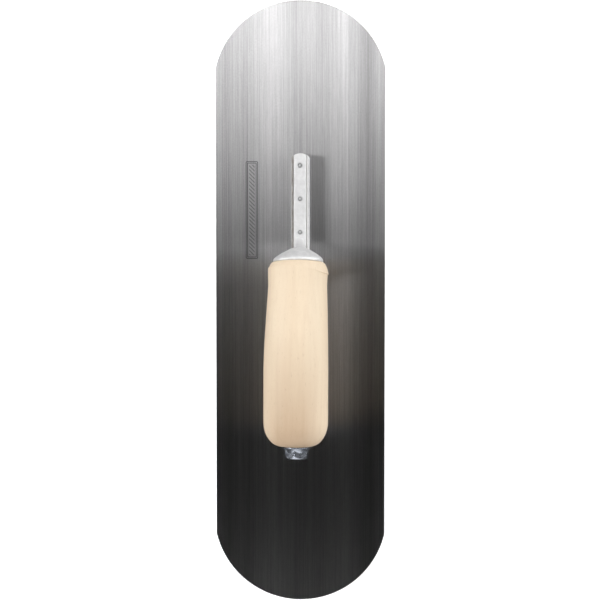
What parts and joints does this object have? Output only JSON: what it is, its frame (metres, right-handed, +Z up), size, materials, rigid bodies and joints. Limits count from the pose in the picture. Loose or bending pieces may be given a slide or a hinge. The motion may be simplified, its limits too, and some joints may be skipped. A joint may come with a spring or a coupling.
{
  "type": "finishing trowel",
  "caption": "Concrete finishing trowel: thin round-ended steel blade, riveted aluminium mounting with shank and cup, and a turned wooden handle on a through bolt.",
  "frame": {"origin": "middle of the blade's working face, where the tool lies flat on a surface", "axes": "+Y along the blade to the toe, the end that the handle points away from; +Z up out of the blade to the handle; +X to the right of a user who looks along +Y"},
  "size_m": [0.1142, 0.4064, 0.0754],
  "materials": {
    "blade_steel": "hardened sheet steel, finely brushed along its length",
    "cast_aluminium": "satin, tumbled casting with ground faces",
    "rivet_steel": "spun and ground flush",
    "handle_wood": "pale basswood, sanded smooth, no varnish",
    "bolt_zinc": "bright zinc plate"
  },
  "bodies": {
    "root": {"blade": "blade_steel", "mounting": "cast_aluminium", "rivet_1": "rivet_steel", "rivet_2": "rivet_steel", "rivet_3": "rivet_steel", "rivet_4": "rivet_steel", "rivet_5": "rivet_steel", "rivet_6": "rivet_steel", "rivet_7": "rivet_steel", "rivet_8": "rivet_steel", "handle": "handle_wood", "handle_bolt": "bolt_zinc"}
  },
  "joints": []
}
